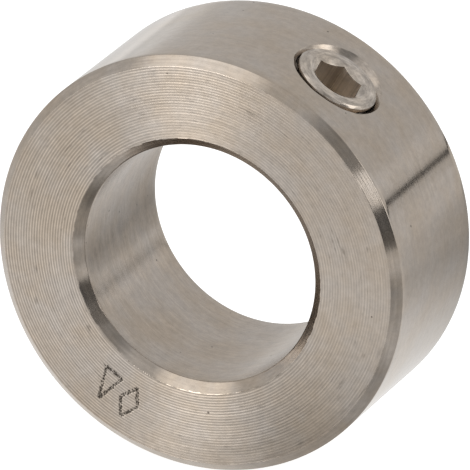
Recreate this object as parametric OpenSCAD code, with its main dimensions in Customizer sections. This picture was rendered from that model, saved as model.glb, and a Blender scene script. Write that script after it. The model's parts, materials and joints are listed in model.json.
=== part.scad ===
// Shaft collar with one radial set screw: a turned ring that slides on a round shaft,
// and a headless hex-socket screw whose point grips the shaft.
//
// Units are millimetres. The origin is the middle of the bore. +Y runs along the bore,
// away from the front face, and +Z is up. The set screw lies in the XZ plane.

/* [Ring] */
// Diameter of the bore, the size of shaft that the collar fits
bore_d = 16; // [14:1:18]
// Outside diameter of the ring
outer_d = 28; // [28:1:34]
// Width of the ring, measured along the shaft
ring_w = 12; // [10:0.5:16]
// Width of the 45 degree chamfer on each outer edge
outer_chamfer = 0.6; // [0.3:0.1:1]
// Width of the 45 degree chamfer on each bore edge
bore_chamfer = 0.6; // [0.3:0.1:1]

/* [Threaded hole] */
// Nominal diameter of the thread
thread_d = 6; // [5:1:6]
// Direction of the hole round the shaft, in degrees from +X towards +Z
screw_angle = 60; // [0:5:90]
// Diameter of the countersink where the hole leaves the ring
countersink_d = 6.9; // [6.6:0.1:7.4]

/* [Set screw] */
// Depth of the screw's flat end below the outside of the ring
screw_sink = 0.1; // [0:0.05:0.5]
// Gap between the screw's point and the shaft when the screw is loose
point_gap = 0.1; // [0.05:0.05:0.5]
// Radial gap between the screw and the hole, both drawn at the thread's outside
thread_gap = 0.05; // [0.03:0.01:0.08]
// Size of the hexagon socket across its flats
socket_flats = 3; // [2.5:0.5:3]
// Turn of the socket about the screw's axis, in degrees
socket_turn = 42; // [0:1:60]
// Width of the 45 degree chamfer round the screw's flat end
screw_chamfer = 0.2; // [0.1:0.05:0.6]
// Diameter of the flat at the end of the cone point
point_flat_d = 1.5; // [1:0.1:2]

/* [Hidden] */

// Fineness of the round surfaces
round_fn = 128;
// Length by which a cutting shape passes the surface that it cuts
over = 1;

outer_r = outer_d / 2;
bore_r = bore_d / 2;
wall = outer_r - bore_r;

countersink_r = countersink_d / 2;
hole_r = thread_d / 2;
screw_r = hole_r - thread_gap;

screw_l = wall - screw_sink - point_gap;
// The thread runs out at 45 degrees to the base of the 120 degree cone point
runout_h = thread_d / 10;
cone_base_r = screw_r - runout_h;
point_flat_r = point_flat_d / 2;
cone_h = (cone_base_r - point_flat_r) / tan(60);

socket_corner_r = socket_flats / 2 / cos(30);
socket_depth = 0.45 * screw_l;
// The 120 degree lead-in just passes the hexagon's corners
lead_in_r = socket_corner_r + 0.2;
// The drill that starts the socket leaves a 120 degree cone at its floor
drill_r = socket_flats / 2;

// Moves a shape drawn along +Z from the origin onto the screw's axis.
module along_screw() {
    rotate([0, 90 - screw_angle, 0]) children();
}

// A solid of revolution about the bore's axis, from an outline of [radius, y] points.
module turned(outline) {
    rotate([-90, 0, 0]) rotate_extrude($fn = round_fn) polygon(outline);
}

// A 120 degree cone with its base of the given radius at z = 0 and its tip below it.
module drill_tip(r) {
    tip_h = r / tan(60);
    translate([0, 0, -tip_h]) cylinder(h = tip_h, r1 = 0, r2 = r, $fn = round_fn);
}

// The ring's section: a rectangle with its four corners chamfered.
module ring_blank() {
    half_w = ring_w / 2;
    turned([
        [bore_r, -half_w + bore_chamfer],
        [bore_r + bore_chamfer, -half_w],
        [outer_r - outer_chamfer, -half_w],
        [outer_r, -half_w + outer_chamfer],
        [outer_r, half_w - outer_chamfer],
        [outer_r - outer_chamfer, half_w],
        [bore_r + bore_chamfer, half_w],
        [bore_r, half_w - bore_chamfer]
    ]);
}

// The radial hole, as wide as the thread's outside, with a 90 degree countersink.
module screw_hole() {
    cylinder(h = outer_r + over, r = hole_r, $fn = round_fn);
    sink_h = countersink_r - hole_r;
    translate([0, 0, outer_r - sink_h])
        cylinder(h = sink_h + over, r1 = hole_r, r2 = countersink_r + over, $fn = round_fn);
}

module collar_ring() {
    color("silver")
        difference() {
            ring_blank();
            along_screw() screw_hole();
        }
}

// The screw's outside, standing on its point at z = 0.
module screw_blank() {
    rotate_extrude($fn = round_fn)
        polygon([
            [0, 0],
            [point_flat_r, 0],
            [cone_base_r, cone_h],
            [screw_r, cone_h + runout_h],
            [screw_r, screw_l - screw_chamfer],
            [screw_r - screw_chamfer, screw_l],
            [0, screw_l]
        ]);
}

// The hexagon socket, cut down from z = 0.
module hex_socket() {
    translate([0, 0, -socket_depth]) {
        rotate([0, 0, socket_turn])
            cylinder(h = socket_depth + over, r = socket_corner_r, $fn = 6);
        drill_tip(drill_r);
    }
    drill_tip(lead_in_r);
}

module set_screw() {
    color("gainsboro")
        along_screw()
            translate([0, 0, bore_r + point_gap])
                difference() {
                    screw_blank();
                    translate([0, 0, screw_l]) hex_socket();
                }
}

collar_ring();
set_screw();
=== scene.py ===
"""The looks of a shaft collar: a turned stainless ring and its hex-socket set screw, in a white studio.

Lengths in this file are millimetres, in the row frame: the bore runs along Y and +Z is up. They are turned
into metres where an object is made.
"""

import json
import math

import bmesh
import bpy
import numpy as np
from mathutils import Matrix, Vector


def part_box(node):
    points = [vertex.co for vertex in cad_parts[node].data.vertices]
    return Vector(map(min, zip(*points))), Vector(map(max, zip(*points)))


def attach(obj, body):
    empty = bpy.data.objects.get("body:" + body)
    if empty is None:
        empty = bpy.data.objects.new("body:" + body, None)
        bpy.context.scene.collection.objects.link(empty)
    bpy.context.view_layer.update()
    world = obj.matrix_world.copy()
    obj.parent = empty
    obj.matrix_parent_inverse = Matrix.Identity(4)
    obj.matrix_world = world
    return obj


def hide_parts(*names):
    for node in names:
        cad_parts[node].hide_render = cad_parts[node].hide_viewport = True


MM = 0.001
TURN = 2 * math.pi

# Points closer than this are joined, and edges over this angle are sharp
JOIN_DISTANCE = 0.001
SHARP_ANGLE = math.radians(30)

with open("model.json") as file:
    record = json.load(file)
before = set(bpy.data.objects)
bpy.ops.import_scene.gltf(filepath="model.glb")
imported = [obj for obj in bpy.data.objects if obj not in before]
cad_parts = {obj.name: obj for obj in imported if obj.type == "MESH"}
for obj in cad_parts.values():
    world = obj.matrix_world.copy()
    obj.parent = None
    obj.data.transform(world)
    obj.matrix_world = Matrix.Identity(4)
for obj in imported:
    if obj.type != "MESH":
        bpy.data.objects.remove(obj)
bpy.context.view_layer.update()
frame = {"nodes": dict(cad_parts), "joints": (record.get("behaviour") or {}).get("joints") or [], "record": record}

# ------------------------------------------------------------------ sizes from the frame

ring_low, ring_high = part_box("collar_ring")
bore_mount = next(m for m in frame["record"]["mounts"] if m["name"] == "bore")

OUTER_R = ring_high.x / MM
HALF_W = ring_high.y / MM
BORE_R = bore_mount["dims"]["r_mm"]
CHAMFER = HALF_W - bore_mount["dims"]["length_mm"] / 2
# The bore's bevels are a little flatter than 45 degrees
BORE_LEAN = 0.03
FACE_IN_R = BORE_R + CHAMFER + BORE_LEAN
FACE_OUT_R = OUTER_R - CHAMFER

# The screw's own frame: ALONG points out of the ring, and angles turn from SIDE towards ACROSS.
ALONG = np.array(frame["joints"][0]["axis"])
SIDE = np.array([0.0, 1.0, 0.0])
ACROSS = np.cross(ALONG, SIDE)
SCREW_ANGLE = math.atan2(ALONG[2], ALONG[0])
screw_points = np.array([v.co for v in frame["nodes"]["set_screw"].data.vertices]) / MM
SCREW_TOP = float((screw_points @ ALONG).max())
SCREW_TIP = float((screw_points @ ALONG).min())
SCREW_R = float(np.hypot(screw_points @ SIDE, screw_points @ ACROSS).max())

# The M6 x 1 thread and its hole
PITCH = 1.0
HOLE_MAJOR_R = 3.0
HOLE_MINOR_R = 2.46
SCREW_MINOR_R = 2.38
CREST = 1 / 8
ROWS_PER_TURN = 16
HOLE_COLUMNS = 96
# The countersink's mouth, and the bevel where the hole meets the bore
SINK_R = 3.45
DEBURR_R = 2.7

# The set screw's two ends
SOCKET_R = 1.5
SOCKET_DEPTH = 0.45 * (SCREW_TOP - SCREW_TIP)
SOCKET_CORNER = math.radians(12)
LEAD_IN_R = SOCKET_R / math.cos(math.pi / 6) + 0.2
# The flat's first and last loops lie this far inside its edges, and the lead-in starts this far down
FLAT_EDGE = 0.04
LEAD_IN_EDGE = 0.01
HEAD_R = 2.64
HEAD_LAND_R = 2.78
HEAD_LAND = 0.45
# The hole's crests are cut back where the screw's land goes when the screw is driven in
LAND_ROOM = 0.05
LAND_LOWEST = SCREW_TOP - HEAD_LAND - LAND_ROOM + frame["joints"][0]["range_m"][0] / MM
POINT_R = 0.75
CONE_SLOPE = math.tan(math.radians(60))

# Turning marks, left by a round-nosed tool
FEED = 0.185
FEED_DEPTH = 0.012
EDGE_R = 0.06

# ------------------------------------------------------------------ mesh building


class Skin:
    """The points and faces of one piece, gathered part by part, in millimetres."""

    def __init__(self):
        self.points = []
        self.etch = []
        self.faces = []
        self.finish = []
        self.size = 0

    def add(self, points, etch=0.0):
        """Stores an array of points, whatever its shape, and returns their numbers in that shape."""
        points = np.asarray(points, float)
        shape = points.shape[:-1]
        numbers = self.size + np.arange(points.size // 3).reshape(shape)
        self.points.append(points.reshape(-1, 3))
        self.etch.append(np.broadcast_to(etch, shape).reshape(-1))
        self.size += numbers.size
        return numbers

    def weave(self, grid, finish, keep=None):
        """Faces between neighbouring rows and columns of a grid of point numbers."""
        quads = np.stack([grid[:-1, :-1], grid[:-1, 1:], grid[1:, 1:], grid[1:, :-1]], -1)
        finish = np.broadcast_to(finish, quads.shape[:2])
        if keep is None:
            keep = np.ones(quads.shape[:2], bool)
        self.faces.append(quads[keep])
        self.finish.append(finish[keep])

    def loops(self, rows, finish):
        """Faces between closed loops of point numbers, one loop to a row."""
        rows = np.asarray(rows)
        self.weave(np.concatenate([rows, rows[:, :1]], 1), finish)

    def build(self, name, materials):
        """Makes the Blender object, with doubled points joined and its sharp edges marked."""
        mesh = bpy.data.meshes.new(name)
        points = np.concatenate(self.points) * MM
        mesh.from_pydata(points.tolist(), [], np.concatenate(self.faces).tolist())
        for material in materials:
            mesh.materials.append(material)
        mesh.polygons.foreach_set("material_index", np.concatenate(self.finish).astype(np.int32))
        mesh.polygons.foreach_set("use_smooth", np.ones(len(mesh.polygons), bool))
        etch = mesh.attributes.new("etch", "FLOAT", "POINT")
        etch.data.foreach_set("value", np.concatenate(self.etch).astype(np.float32))
        tidy_mesh(mesh)
        mesh.set_sharp_from_angle(angle=SHARP_ANGLE)
        piece = bpy.data.objects.new(name, mesh)
        bpy.context.scene.collection.objects.link(piece)
        return piece


def tidy_mesh(mesh):
    """Joins doubled points and turns the faces outwards."""
    work = bmesh.new()
    work.from_mesh(mesh)
    bmesh.ops.remove_doubles(work, verts=work.verts, dist=JOIN_DISTANCE * MM)
    bmesh.ops.recalc_face_normals(work, faces=work.faces)
    work.to_mesh(mesh)
    work.free()


def on_screw(radius, angle, height):
    """Points in the row frame from their radius, angle and height in the screw's own frame."""
    radius, angle, height = np.broadcast_arrays(radius, angle, height)
    return (
        height[..., None] * ALONG
        + (radius * np.cos(angle))[..., None] * SIDE
        + (radius * np.sin(angle))[..., None] * ACROSS
    )


def thread_radius(angle, height, major, minor, crest):
    """Radius of a right-hand 60 degree thread. crest is the share of the pitch at the major radius."""
    phase = (height / PITCH - angle / TURN) % 1.0
    from_crest = np.minimum(phase, 1 - phase) * PITCH - crest * PITCH / 2
    return np.clip(major - np.maximum(from_crest, 0) * CONE_SLOPE, minor, major)


def helical_rows(low, high, angle):
    """Heights of rows that climb with the thread, cut off at each column's lowest and highest point."""
    step = PITCH / ROWS_PER_TURN
    first = math.floor(low.min() / step) - ROWS_PER_TURN
    last = math.ceil(high.max() / step) + ROWS_PER_TURN
    rows = np.arange(first, last + 1)[:, None] * step + PITCH * angle / TURN
    return np.clip(rows, low, high)


def weave_helix(skin, numbers, finish):
    """Faces of a helical grid: its last column meets its first one, a full turn of rows higher.

    finish is one number, or a grid of them like the grid of point numbers.
    """
    finish = np.broadcast_to(finish, numbers.shape)
    skin.weave(numbers, finish[:-1, :-1])
    seam = np.stack([numbers[:-ROWS_PER_TURN, -1], numbers[ROWS_PER_TURN:, 0]], 1)
    skin.weave(seam, finish[: len(seam) - 1, -1:])


# ------------------------------------------------------------------ the collar ring

FACE, BEVEL, RIM, BORE, HOLE = range(5)
GROOVES = round((FACE_OUT_R - FACE_IN_R) / FEED)
FEED_PITCH = (FACE_OUT_R - FACE_IN_R) / GROOVES
BEVEL_GROOVES = 4
BEVEL_GROOVE_DEPTH = 0.004

# Each straight run of the ring's outline: its finish, grooves, groove depth, rows, and the depth
# of the nicks in the edge where it ends
RUNS = [
    (FACE, GROOVES, FEED_DEPTH, 4 * GROOVES, 0.005),
    (BEVEL, BEVEL_GROOVES, BEVEL_GROOVE_DEPTH, 4 * BEVEL_GROOVES, 0.001),
    (RIM, 1, 0.0, 28, 0.001),
    (BEVEL, 1, 0.0, 6, 0.003),
    (FACE, GROOVES, FEED_DEPTH, 2 * GROOVES, 0.003),
    (BEVEL, 1, 0.0, 4, 0.001),
    (BORE, 1, 0.0, 20, 0.001),
    (BEVEL, 2, 0.002, 8, 0.005),
]
RIM_RUN, BORE_RUN = 2, 6

COLUMN_STEP = math.radians(1.5)
# Half the columns, and the rows left out at each end, of the window round the hole
RIM_WINDOW = (13, 3)
BORE_WINDOW = (17, 3)

MARK_ANGLE = math.radians(242.0)
MARK_RADIUS = 11.1
MARK_HALF_COLUMNS = 6
MARK_COLUMN_SPLIT = 6
MARK_DEPTH = 0.02


def ring_columns():
    """Angles of the ring's columns, closer together where the etched mark is."""
    mark = round(MARK_ANGLE / COLUMN_STEP)
    angles = []
    for k in range(round(TURN / COLUMN_STEP)):
        split = MARK_COLUMN_SPLIT if abs(k + 0.5 - mark) < MARK_HALF_COLUMNS else 1
        angles.extend((k + np.arange(split) / split) * COLUMN_STEP)
    return np.array(angles)


def mark_dots(rng):
    """Middles and radii of the etched dots, along a plain diamond and a plain triangle."""
    diamond = [(-1.5, 0.0), (-0.85, 1.2), (-0.2, 0.0), (-0.85, -1.2), (-1.5, 0.0)]
    triangle = [(0.3, -1.1), (0.95, 1.1), (1.6, -1.1), (0.3, -1.1)]
    middles = []
    for outline in (diamond, triangle):
        for a, b in zip(np.array(outline[:-1]), np.array(outline[1:])):
            length = np.linalg.norm(b - a)
            count = round(length / 0.115)
            along = (np.arange(count) + 0.5)[:, None] / count
            normal = np.array([a[1] - b[1], b[0] - a[0]]) / length
            for side in (-0.05, 0.05):
                middles.append(a + (b - a) * along + normal * side + rng.normal(0, 0.022, (count, 2)))
    middles = np.concatenate(middles)
    return middles, rng.uniform(0.035, 0.07, len(middles))


def mark_etch(radius, angle, rng):
    """How deep the mark is etched at points of the front face, from 0 to 1."""
    middles, sizes = mark_dots(rng)
    x = (MARK_ANGLE - angle) * radius
    y = radius - MARK_RADIUS + 0 * x
    etch = np.zeros(x.shape)
    near = np.abs(x) < 2
    spots = np.stack([x[near], y[near]], 1)
    away = np.linalg.norm(spots[:, None] - middles[None], axis=2) / sizes
    etch[near] = np.clip(1.6 - 1.2 * away, 0, 1).max(1)
    return etch


def groove_depth(grooves, rows, angle, rng):
    """Share of the full depth at each row and column. Each groove varies along its length."""
    position = np.linspace(0, grooves, rows + 1)
    index = np.minimum(position.astype(int), grooves - 1)
    share = position - index
    strength = rng.uniform(0.6, 1.0, grooves)[index][:, None]
    start = rng.uniform(0, TURN, grooves)[index][:, None]
    along = strength * (1 + 0.2 * np.sin(2 * angle + start) + 0.1 * np.sin(5 * angle + 3 * start))
    return (4 * share * (1 - share))[:, None] * along


def ring_outline(angle, rng):
    """The ring's surface as a grid of radii and y values, with each row's finish and each run's first row."""
    corners = np.array(
        [
            (FACE_IN_R, -HALF_W),
            (FACE_OUT_R, -HALF_W),
            (OUTER_R, CHAMFER - HALF_W),
            (OUTER_R, HALF_W - CHAMFER),
            (FACE_OUT_R, HALF_W),
            (FACE_IN_R, HALF_W),
            (BORE_R, HALF_W - CHAMFER + BORE_LEAN),
            (BORE_R, CHAMFER - BORE_LEAN - HALF_W),
        ]
    )
    ways = np.roll(corners, -1, 0) - corners
    ways /= np.linalg.norm(ways, axis=1)[:, None]
    cut = EDGE_R * math.tan(math.radians(22.5))
    rows, finishes, first_rows = [], [], []
    for run, (finish, grooves, depth, count, nick_depth) in enumerate(RUNS):
        start, end = corners[run], corners[(run + 1) % len(corners)]
        way, next_way = ways[run], ways[(run + 1) % len(corners)]
        inward = np.array([-way[1], way[0]])
        line = np.linspace(start + cut * way, end - cut * way, count + 1)
        sunk = depth * groove_depth(grooves, count, angle, rng)
        first_rows.append(len(rows))
        rows.extend(line[:, None] + sunk[..., None] * inward)
        nick = np.abs(rng.normal(0, nick_depth, len(angle)))[:, None]
        for t in (0.3, 0.7):
            bend = end - (1 - t) ** 2 * cut * way + t**2 * cut * next_way
            rows.append(bend + nick * (inward + [-next_way[1], next_way[0]]))
        finishes.extend([finish] * (count + 3))
    grid = np.array(rows)
    return grid[..., 0], grid[..., 1], np.array(finishes), first_rows


def window(first_row, rows, half_columns, margin):
    """The rows and columns of a window round the hole, as two ranges."""
    middle = round(SCREW_ANGLE / COLUMN_STEP)
    return (first_row + margin, first_row + rows - margin), (middle - half_columns, middle + half_columns)


def sink_radius(angle, height):
    """The countersink's cone, with the faint lobes that a chattering tool leaves."""
    lobes = 0.012 * np.sin(11 * angle) + 0.008 * np.sin(17 * angle + 1)
    return SINK_R - (OUTER_R - height) + lobes


def hole_thread(angle, height):
    return thread_radius(angle, height, HOLE_MAJOR_R, HOLE_MINOR_R, CREST)


def mouth(angle, wall_r, radius_at):
    """Where a hole of radius_at(angle, height) comes out of a round wall: its radius and height there."""
    radius = np.full_like(angle, HOLE_MAJOR_R)
    for _ in range(30):
        height = np.sqrt(wall_r**2 - (radius * np.sin(angle)) ** 2)
        radius = radius_at(angle, height)
    return radius, height


def fill_window(skin, numbers, points, rows, columns, wall_r, rim, rim_numbers, finish):
    """Loops of faces from a window's border to the hole's rim, all of them in the round wall."""
    (r0, r1), (c0, c1) = rows, columns
    border = [(r0, c) for c in range(c0, c1)] + [(r, c1) for r in range(r0, r1)]
    border += [(r1, c) for c in range(c1, c0, -1)] + [(r, c0) for r in range(r1, r0, -1)]
    r, c = np.array(border).T
    angle = np.arctan2(points[r, c] @ ACROSS, points[r, c] @ SIDE)
    order = np.argsort(np.round(angle, 6) % TURN)
    r, c = r[order], c[order]
    loops = [numbers[r, c]]
    for share in (0.3, 0.55, 0.75, 0.88, 0.96):
        between = points[r, c] * (1 - share) + rim * share
        side, across = between @ SIDE, between @ ACROSS
        height = np.sqrt(wall_r**2 - across**2)
        loops.append(skin.add(height[:, None] * ALONG + side[:, None] * SIDE + across[:, None] * ACROSS))
    loops.append(rim_numbers)
    skin.loops(loops, finish)


def make_ring(materials):
    """The ring: one turned outline, cut by the threaded hole and its countersink."""
    rng = np.random.default_rng(16)
    skin = Skin()
    angle = ring_columns()
    radius, y, finishes, first_rows = ring_outline(angle, rng)

    face_rows = RUNS[0][3] + 1
    etch = np.zeros(radius.shape)
    etch[:face_rows] = mark_etch(radius[:face_rows], angle, rng)
    y = y + MARK_DEPTH * etch
    points = np.stack([radius * np.cos(angle), y, radius * np.sin(angle)], -1)
    numbers = skin.add(points, etch)

    rim_window = window(first_rows[RIM_RUN], RUNS[RIM_RUN][3], *RIM_WINDOW)
    bore_window = window(first_rows[BORE_RUN], RUNS[BORE_RUN][3], *BORE_WINDOW)
    keep = np.ones(numbers.shape, bool)
    for rows, columns in (rim_window, bore_window):
        keep[slice(*rows), slice(*columns)] = False
    closed = np.pad(numbers, ((0, 1), (0, 1)), mode="wrap")
    skin.weave(closed, finishes[:, None], keep)

    turn = np.arange(HOLE_COLUMNS) * TURN / HOLE_COLUMNS
    outer_r, outer_h = mouth(turn, OUTER_R, sink_radius)
    inner_r, inner_h = mouth(turn, BORE_R, lambda a, h: np.maximum(hole_thread(a, h), DEBURR_R))
    height = helical_rows(inner_h, outer_h, turn)
    wall = np.maximum(hole_thread(turn, height), sink_radius(turn, height))
    wall = np.maximum(wall, DEBURR_R - (height - inner_h))
    wall = np.maximum(wall, HEAD_LAND_R + LAND_ROOM - np.maximum(LAND_LOWEST - height, 0))
    wall_points = on_screw(wall, turn, height)
    wall_numbers = skin.add(wall_points)
    weave_helix(skin, wall_numbers, HOLE)
    fill_window(skin, numbers, points, *rim_window, OUTER_R, wall_points[-1], wall_numbers[-1], RIM)
    fill_window(skin, numbers, points, *bore_window, BORE_R, wall_points[0], wall_numbers[0], BORE)
    return skin.build("turned_ring", materials)


# ------------------------------------------------------------------ the set screw

HEAD, THREAD, SOCKET = range(3)


def screw_radius(angle, height):
    """The thread, cut back by a short land at the top and the cone point at the bottom."""
    thread = thread_radius(angle, height, SCREW_R, SCREW_MINOR_R, CREST)
    depth = SCREW_TOP - height
    below_land = np.maximum(depth - HEAD_LAND, 0)
    thread = np.maximum(thread, HEAD_LAND_R - below_land)
    top = np.minimum(HEAD_R + depth, HEAD_LAND_R + below_land)
    point = POINT_R + (height - SCREW_TIP) * CONE_SLOPE
    return np.minimum(np.minimum(thread, top), point)


def make_screw(materials):
    """The screw: a helical outside, closed by its point below and by the socket above."""
    skin = Skin()
    turn = SOCKET_CORNER + np.arange(HOLE_COLUMNS) * TURN / HOLE_COLUMNS
    low = np.full(HOLE_COLUMNS, SCREW_TIP)
    high = np.full(HOLE_COLUMNS, SCREW_TOP)
    height = helical_rows(low, high, turn)
    side = skin.add(on_screw(screw_radius(turn, height), turn, height))
    weave_helix(skin, side, np.where(height > SCREW_TOP - HEAD_LAND, HEAD, THREAD))
    skin.loops([side[0], skin.add(on_screw(0 * low, turn, low))], THREAD)

    from_corner = (turn - SOCKET_CORNER) % (TURN / 6)
    hexagon = SOCKET_R / np.cos(from_corner - TURN / 12)
    lead_in_top = high - LEAD_IN_EDGE
    lead_in = lead_in_top - (LEAD_IN_R - hexagon) / CONE_SLOPE
    floor = high - SOCKET_DEPTH
    tip = floor - SOCKET_R / CONE_SLOPE
    end = [side[-1]]
    for loop in (
        (HEAD_R - FLAT_EDGE, high),
        (LEAD_IN_R + FLAT_EDGE, high),
        (LEAD_IN_R, lead_in_top),
        (hexagon, lead_in),
    ):
        end.append(skin.add(on_screw(loop[0], turn, loop[1])))
    skin.loops(end, HEAD)
    walls = [end[-1]]
    for share in (0.33, 0.67, 1.0):
        walls.append(skin.add(on_screw(hexagon, turn, lead_in + (floor - lead_in) * share)))
    walls.append(skin.add(on_screw(SOCKET_R, turn, floor)))
    walls.append(skin.add(on_screw(0 * tip, turn, tip)))
    skin.loops(walls, SOCKET)
    return skin.build("hex_set_screw", materials)


# ------------------------------------------------------------------ materials


def add_node(tree, kind, inputs=None, **settings):
    """Adds a node. inputs maps a socket's name or number to a value or to another node's output."""
    node = tree.nodes.new(kind)
    for name, value in settings.items():
        setattr(node, name, value)
    for key, value in (inputs or {}).items():
        if isinstance(value, bpy.types.NodeSocket):
            tree.links.new(value, node.inputs[key])
        else:
            node.inputs[key].default_value = value
    return node


def math_node(tree, operation, *values):
    return add_node(tree, "ShaderNodeMath", dict(enumerate(values)), operation=operation).outputs[0]


def remap(tree, value, low, high, to_low, to_high):
    """value from low..high to to_low..to_high, held at both ends."""
    inputs = {0: value, 1: low, 2: high, 3: to_low, 4: to_high}
    return add_node(tree, "ShaderNodeMapRange", inputs).outputs[0]


def noise(tree, vector, scale, detail=2.0, roughness=0.5):
    inputs = {"Vector": vector, "Scale": scale, "Detail": detail, "Roughness": roughness}
    return add_node(tree, "ShaderNodeTexNoise", inputs).outputs[0]


def position_mm(tree):
    inputs = {0: add_node(tree, "ShaderNodeTexCoord").outputs["Object"], "Scale": 1 / MM}
    return add_node(tree, "ShaderNodeVectorMath", inputs, operation="SCALE").outputs[0]


def split_position(tree, about_screw):
    """Distance from the bore's or the screw's axis, place along it, and direction round it as x and z."""
    place = position_mm(tree)
    if about_screw:
        inputs = {"Vector": place, "Angle": SCREW_ANGLE - TURN / 4}
        turned = add_node(tree, "ShaderNodeVectorRotate", inputs, rotation_type="Y_AXIS").outputs[0]
        x, z, y = add_node(tree, "ShaderNodeSeparateXYZ", {0: turned}).outputs
    else:
        x, y, z = add_node(tree, "ShaderNodeSeparateXYZ", {0: place}).outputs
    flat = add_node(tree, "ShaderNodeCombineXYZ", {0: x, 2: z}).outputs[0]
    radius = add_node(tree, "ShaderNodeVectorMath", {0: flat}, operation="LENGTH").outputs["Value"]
    return radius, y, math_node(tree, "DIVIDE", x, radius), math_node(tree, "DIVIDE", z, radius)


def along_marks(tree, across, x, z, across_scale, along_scale):
    """A vector for noise that changes fast across the turning marks and slowly along them."""
    vector = add_node(tree, "ShaderNodeCombineXYZ", {0: across, 1: x, 2: z}).outputs[0]
    return stretched(tree, vector, across_scale, along_scale)


def stretched(tree, vector, across, along):
    scale = (across, along, along)
    return add_node(tree, "ShaderNodeVectorMath", {0: vector, 1: scale}, operation="MULTIPLY").outputs[0]


def mix_color(tree, share, a, b, blend="MIX"):
    inputs = {0: share, 6: a, 7: b}
    return add_node(tree, "ShaderNodeMix", inputs, data_type="RGBA", blend_type=blend).outputs[2]


def specks(tree, place, scale, size, share):
    """1 in small spots, 0 elsewhere. scale is cells per mm, size a spot's largest radius in cells."""
    cell = add_node(tree, "ShaderNodeTexVoronoi", {"Vector": place, "Scale": scale}).outputs
    draw = add_node(tree, "ShaderNodeSeparateXYZ", {0: cell["Color"]}).outputs[0]
    radius = remap(tree, draw, 1 - share, 1.0, 0.0, size)
    edge = math_node(tree, "SUBTRACT", radius, cell["Distance"])
    return remap(tree, edge, 0.0, size * 0.3, 0.0, 1.0)


DIRT = (0.06, 0.048, 0.04, 1)
ETCH = (0.035, 0.028, 0.022, 1)
ETCH_ROUGHNESS = 0.7


def steel(
    name,
    color,
    roughness,
    anisotropy=0.0,
    across="radius",
    streaks=0.1,
    pits=0.2,
    about_screw=False,
    extra=None,
    etched=False,
):
    """Worn, turned stainless steel.

    across tells what changes across the tool marks: the radius or y. streaks is the contrast of the marks
    and pits the share of cells with a dark pit. extra is a function that changes the shade. An etched
    material is dark where the mesh's etch attribute is 1.
    """
    material = bpy.data.materials.new(name)
    material.use_nodes = True
    tree = material.node_tree
    shader = tree.nodes["Principled BSDF"]
    shader.inputs["Metallic"].default_value = 1.0
    shader.inputs["Anisotropic"].default_value = anisotropy
    shader.inputs["Anisotropic Rotation"].default_value = 0.25
    tangent = add_node(tree, "ShaderNodeTangent", direction_type="RADIAL", axis="Y")
    tree.links.new(tangent.outputs[0], shader.inputs["Tangent"])

    radius, y, x, z = split_position(tree, about_screw)
    place = position_mm(tree)
    crossing = radius if across == "radius" else y
    fine = noise(tree, along_marks(tree, crossing, x, z, 7.0, 4.0), 1.0, 3.0, 0.7)
    broad = noise(tree, along_marks(tree, crossing, x, z, 1.6, 2.5), 1.0, 3.0, 0.6)
    cloud = noise(tree, place, 0.3, 4.0, 0.6)
    mottle = noise(tree, place, 2.2, 3.0, 0.7)

    broad_streaks = streaks * 0.7
    shade = remap(tree, fine, 0.25, 0.75, 1 - streaks, 1 + streaks)
    for factor in (
        remap(tree, broad, 0.25, 0.75, 1 - broad_streaks, 1 + broad_streaks),
        remap(tree, cloud, 0.3, 0.7, 0.94, 1.04),
        remap(tree, mottle, 0.25, 0.75, 0.9, 1.1),
    ):
        shade = math_node(tree, "MULTIPLY", shade, factor)
    pit = specks(tree, place, 0.9, 0.09, pits)
    rough = remap(tree, broad, 0.25, 0.75, roughness * 0.85, roughness * 1.15)
    height = math_node(tree, "SUBTRACT", fine, pit)
    if extra:
        shade = extra(tree, shade, radius, x, z)
    warm = tuple(c * f for c, f in zip(color, (1.03, 0.995, 0.97)))
    cool = tuple(c * f for c, f in zip(color, (0.98, 1.0, 1.06)))
    tint = mix_color(tree, remap(tree, cloud, 0.35, 0.65, 0.0, 1.0), (*warm, 1), (*cool, 1))
    tint = mix_color(tree, 1.0, tint, shade, "MULTIPLY")
    tint = mix_color(tree, math_node(tree, "MULTIPLY", pit, 0.75), tint, DIRT)

    if etched:
        etch = add_node(tree, "ShaderNodeAttribute", attribute_name="etch").outputs["Fac"]
        tint = mix_color(tree, etch, tint, ETCH)
        inputs = {0: etch, 2: rough, 3: ETCH_ROUGHNESS}
        rough = add_node(tree, "ShaderNodeMix", inputs, data_type="FLOAT").outputs[0]
    tree.links.new(tint, shader.inputs["Base Color"])
    tree.links.new(rough, shader.inputs["Roughness"])

    bump = add_node(tree, "ShaderNodeBump", {"Height": height, "Strength": 0.5, "Distance": 0.004 * MM})
    tree.links.new(bump.outputs[0], shader.inputs["Normal"])
    return material


def painted_groove_light(tree, shade, radius, x, z):
    """Painted highlights on the ridges and painted shade in the valleys of the turned face, strongest at its left
    and bottom, with darker smears along the marks.
    """
    turn = math_node(tree, "DIVIDE", math_node(tree, "SUBTRACT", radius, FACE_IN_R), FEED_PITCH)
    share = math_node(tree, "FRACT", turn)
    ridge = math_node(tree, "ABSOLUTE", math_node(tree, "SUBTRACT", share, 0.5))
    line = remap(tree, ridge, 0.15, 0.5, -0.17, 0.34)
    # Painted: the ridge highlights and valley shade are made stronger towards -x and -z, the face's left and
    # bottom
    lean = math_node(tree, "ADD", math_node(tree, "MULTIPLY", x, -0.35), math_node(tree, "MULTIPLY", z, -0.1))
    patch = noise(tree, along_marks(tree, radius, x, z, 2.0, 3.0), 1.0, 2.0, 0.6)
    strength = math_node(tree, "ADD", math_node(tree, "ADD", lean, 0.25), patch)
    line = math_node(tree, "MULTIPLY", line, strength)
    shade = math_node(tree, "MULTIPLY", shade, math_node(tree, "ADD", line, 1.0))
    smear = noise(tree, along_marks(tree, radius, x, z, 4.0, 9.0), 1.0, 2.0, 0.6)
    return math_node(tree, "MULTIPLY", shade, remap(tree, smear, 0.63, 0.75, 1.0, 0.7))


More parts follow.
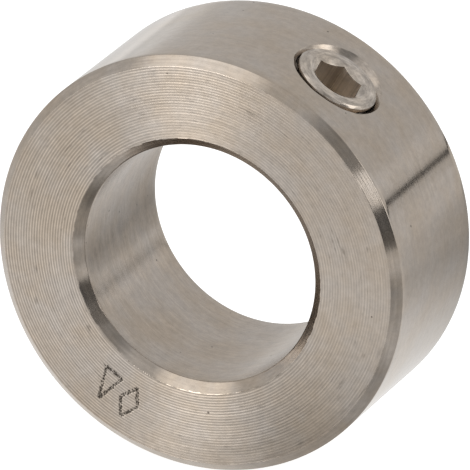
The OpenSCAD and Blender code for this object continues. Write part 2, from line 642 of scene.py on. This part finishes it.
def painted_reflection_patches(tree, shade, radius, x, z):
    """Painted lighter and darker patches on the screw's end, standing in for the uneven reflections of its flat.
    """
    patch = noise(tree, along_marks(tree, radius, x, z, 2.6, 1.7), 1.0, 3.0, 0.6)
    return math_node(tree, "MULTIPLY", shade, remap(tree, patch, 0.32, 0.68, 0.7, 1.1))


STEEL = (0.445, 0.392, 0.332)
HEAD_STEEL = (0.55, 0.495, 0.43)
# The thread is darker than the head: painted shade of the narrow gap round the screw, and a little oil
OILY_SHADED_THREAD_STEEL = (0.24, 0.21, 0.18)
# The socket is lighter than the head: painted light in its recess
SOCKET_STEEL_LIT = (0.64, 0.58, 0.5)

face_steel = steel("turned_face", STEEL, 0.34, 0.85, streaks=0.08, extra=painted_groove_light, etched=True)
bevel_steel = steel("turned_bevel", STEEL, 0.16, 0.6, streaks=0.14, pits=0.1)
rim_steel = steel("turned_rim", STEEL, 0.1, 0.2, across="y", streaks=0.05, pits=0.5)
bore_steel = steel("bored_wall", STEEL, 0.22, 0.5, across="y", streaks=0.1, pits=0.8)
hole_steel = steel("tapped_hole", STEEL, 0.2, streaks=0.3, pits=0.6, about_screw=True)
head_steel = steel("screw_head", HEAD_STEEL, 0.24, streaks=0.3, about_screw=True, extra=painted_reflection_patches)
thread_steel = steel("screw_thread", OILY_SHADED_THREAD_STEEL, 0.3)
socket_steel = steel("screw_socket", SOCKET_STEEL_LIT, 0.4, streaks=0.3, about_screw=True)

ring = make_ring([face_steel, bevel_steel, rim_steel, bore_steel, hole_steel])
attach(ring, "collar")
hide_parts("collar_ring")

screw = make_screw([head_steel, thread_steel, socket_steel])
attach(screw, "screw")
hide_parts("set_screw")

# ------------------------------------------------------------------ studio


def direction(azimuth, elevation):
    """A unit vector. Azimuth 0 is behind the collar, along +Y, and 90 is along +X. Degrees."""
    a, e = math.radians(azimuth), math.radians(elevation)
    return Vector((math.sin(a) * math.cos(e), math.cos(a) * math.cos(e), math.sin(e)))


WARM_WHITE = (1.0, 0.99, 0.975, 1.0)
TABLE_HEIGHT = -OUTER_R
TABLE_R = 3000.0
# The card with the table's painted shadows and lighter patches lies this far above the table
CARD_LIFT = 0.005


def make_disc(name, height):
    """A round disc of the table's size, level, on the bore's vertical."""
    bpy.ops.mesh.primitive_circle_add(
        vertices=64, radius=TABLE_R * MM, fill_type="NGON", location=(0, 0, height * MM)
    )
    disc = bpy.context.active_object
    disc.name = name
    return disc


def glowing(name):
    """A material that only glows, with its tree and the socket that takes its strength."""
    material = bpy.data.materials.new(name)
    material.use_nodes = True
    tree = material.node_tree
    tree.nodes.remove(tree.nodes["Principled BSDF"])
    emission = add_node(tree, "ShaderNodeEmission", {"Color": WARM_WHITE})
    tree.links.new(emission.outputs[0], tree.nodes["Material Output"].inputs["Surface"])
    return material, tree, emission.inputs["Strength"]


def seen_in_reflections(card):
    """Keeps a studio card out of the picture and out of the shadows."""
    card.visible_camera = False
    card.visible_diffuse = False
    card.visible_shadow = False
    card.visible_transmission = False


def make_floor():
    """A round white table, lit from within, that the collar stands on."""
    floor = make_disc("floor", TABLE_HEIGHT)
    material = bpy.data.materials.new("white_table")
    material.use_nodes = True
    shader = material.node_tree.nodes["Principled BSDF"]
    shader.inputs["Base Color"].default_value = (0.5, 0.5, 0.5, 1)
    shader.inputs["Roughness"].default_value = 1.0
    shader.inputs["Specular IOR Level"].default_value = 0.0
    shader.inputs["Emission Color"].default_value = (1, 1, 1, 1)
    shader.inputs["Emission Strength"].default_value = 0.85
    floor.data.materials.append(material)


# The table's painted shadows and painted lighter patches, seen only in reflections: middle x and y, radii in x and
# y, turn in degrees, share of the radii at full tone, and the tone's glow
TABLE_GLOW = 0.8
TABLE_SHADOWS_AND_LIGHT = [
    (0, 0, 70, 70, 0, 0.0, 0.27),
    (-170, 250, 200, 200, 0, 0.3, 0.2),
    (-15, -38, 40, 40, 0, 0.2, 0.16),
    (6, 36, 50, 24, 0, 0.2, -0.2),
    (33, 68, 24, 100, -30, 0.3, -0.3),
    (-3, -14, 20, 14, 0, 0.2, -0.14),
    (3, -10, 8.5, 3.2, -34, 0.4, -0.35),
    (12, -12, 14, 15, 0, 0.55, -0.38),
    (50, -22, 60, 45, 0, 0.2, -0.35),
]


def make_painted_table_card():
    """What the table looks like in reflections: painted shadows and painted lighter patches round the collar, on a
    glowing card.
    """
    card = make_disc("painted_table_shadows", TABLE_HEIGHT + CARD_LIFT)
    material, tree, strength = glowing("painted_table_shadows")
    place = position_mm(tree)
    glow = TABLE_GLOW
    for x, y, radius_x, radius_y, turn, full, extra in TABLE_SHADOWS_AND_LIGHT:
        inputs = {0: place, 1: (x, y, 0)}
        away = add_node(tree, "ShaderNodeVectorMath", inputs, operation="SUBTRACT").outputs[0]
        inputs = {0: away, "Angle": math.radians(-turn)}
        away = add_node(tree, "ShaderNodeVectorRotate", inputs).outputs[0]
        away = stretched(tree, away, 1 / radius_x, 1 / radius_y)
        length = add_node(tree, "ShaderNodeVectorMath", {0: away}, operation="LENGTH").outputs["Value"]
        glow = math_node(tree, "ADD", glow, soft_step(tree, length, 1.0, full, extra))
    tree.links.new(glow, strength)
    card.data.materials.append(material)
    seen_in_reflections(card)


# Name, middle, width, height and glow
CARDS = [
    ("table_edge", (31.6, 4.0, 600), 200, 17, 0.02),
    ("front_panel", (-156, 15, 400), 127, 240, 4.0),
    ("black_card", (121, 13, 150), 95, 75, 0.1),
    ("bright_strip", (121.2, 22, 114), 16, 28, 1.7),
]


def make_card(name, middle, width, height, glow):
    """A card that faces the collar. middle is its azimuth, elevation and distance."""
    way = direction(middle[0], middle[1])
    bpy.ops.mesh.primitive_plane_add(size=1.0, location=way * middle[2] * MM)
    card = bpy.context.active_object
    card.name = name
    card.scale = (width * MM, height * MM, 1)
    card.rotation_mode = "QUATERNION"
    card.rotation_quaternion = way.to_track_quat("Z", "Y")
    material, _, strength = glowing(name)
    strength.default_value = glow
    card.data.materials.append(material)
    seen_in_reflections(card)


# Glow of the studio by direction: azimuth, elevation, angle where the lobe is full, angle where
# it ends, and its glow
LOBES = [
    (-138, 55, 15, 29, 0.75),
    (-33, -3, 4, 12, 0.15),
    (86, 22, 13, 22, 1.5),
    (128, 36, 6, 22, -0.38),
    (34, 10.5, 2, 6, 0.22),
]
BASE_GLOW = 0.73


def soft_step(tree, value, zero, one, top):
    """top where value is past one, 0 where it is past zero, and a smooth step between."""
    inputs = {0: value, 1: zero, 2: one, 3: 0.0, 4: top}
    return add_node(tree, "ShaderNodeMapRange", inputs, interpolation_type="SMOOTHSTEP").outputs[0]


def make_world():
    """White studio walls with a softbox at the front left."""
    world = bpy.data.worlds.new("studio")
    bpy.context.scene.world = world
    world.use_nodes = True
    tree = world.node_tree
    way = add_node(tree, "ShaderNodeTexCoord").outputs["Generated"]
    glow = BASE_GLOW
    for azimuth, elevation, full, end, extra in LOBES:
        inputs = {0: way, 1: direction(azimuth, elevation)}
        near = add_node(tree, "ShaderNodeVectorMath", inputs, operation="DOT_PRODUCT").outputs["Value"]
        edges = math.cos(math.radians(end)), math.cos(math.radians(full))
        glow = math_node(tree, "ADD", glow, soft_step(tree, near, *edges, extra))
    background = tree.nodes["Background"]
    background.inputs["Color"].default_value = WARM_WHITE
    tree.links.new(glow, background.inputs["Strength"])


VIEW_AZIMUTH = 23.44
VIEW_ELEVATION = 22.13
VIEW_ROLL = 1.42
VIEW_DISTANCE = 640.0
AIM = Vector((0.05, 0.0, 0.0))
LENS = 768.0
SENSOR = 36.0


def make_camera():
    """A long lens from the front right, a little above the collar."""
    camera = bpy.data.objects.new("camera", bpy.data.cameras.new("camera"))
    bpy.context.scene.collection.objects.link(camera)
    camera.data.lens = LENS
    camera.data.sensor_width = SENSOR
    back = direction(180 - VIEW_AZIMUTH, VIEW_ELEVATION)
    roll = Matrix.Rotation(math.radians(VIEW_ROLL), 3, "Z").to_quaternion()
    turn = back.to_track_quat("Z", "Y") @ roll
    camera.rotation_mode = "QUATERNION"
    camera.rotation_quaternion = turn
    camera.location = (turn @ AIM + back * VIEW_DISTANCE) * MM
    bpy.context.scene.camera = camera


make_floor()
make_painted_table_card()
for card in CARDS:
    make_card(*card)
make_world()
make_camera()
bpy.context.scene.view_settings.view_transform = "Standard"
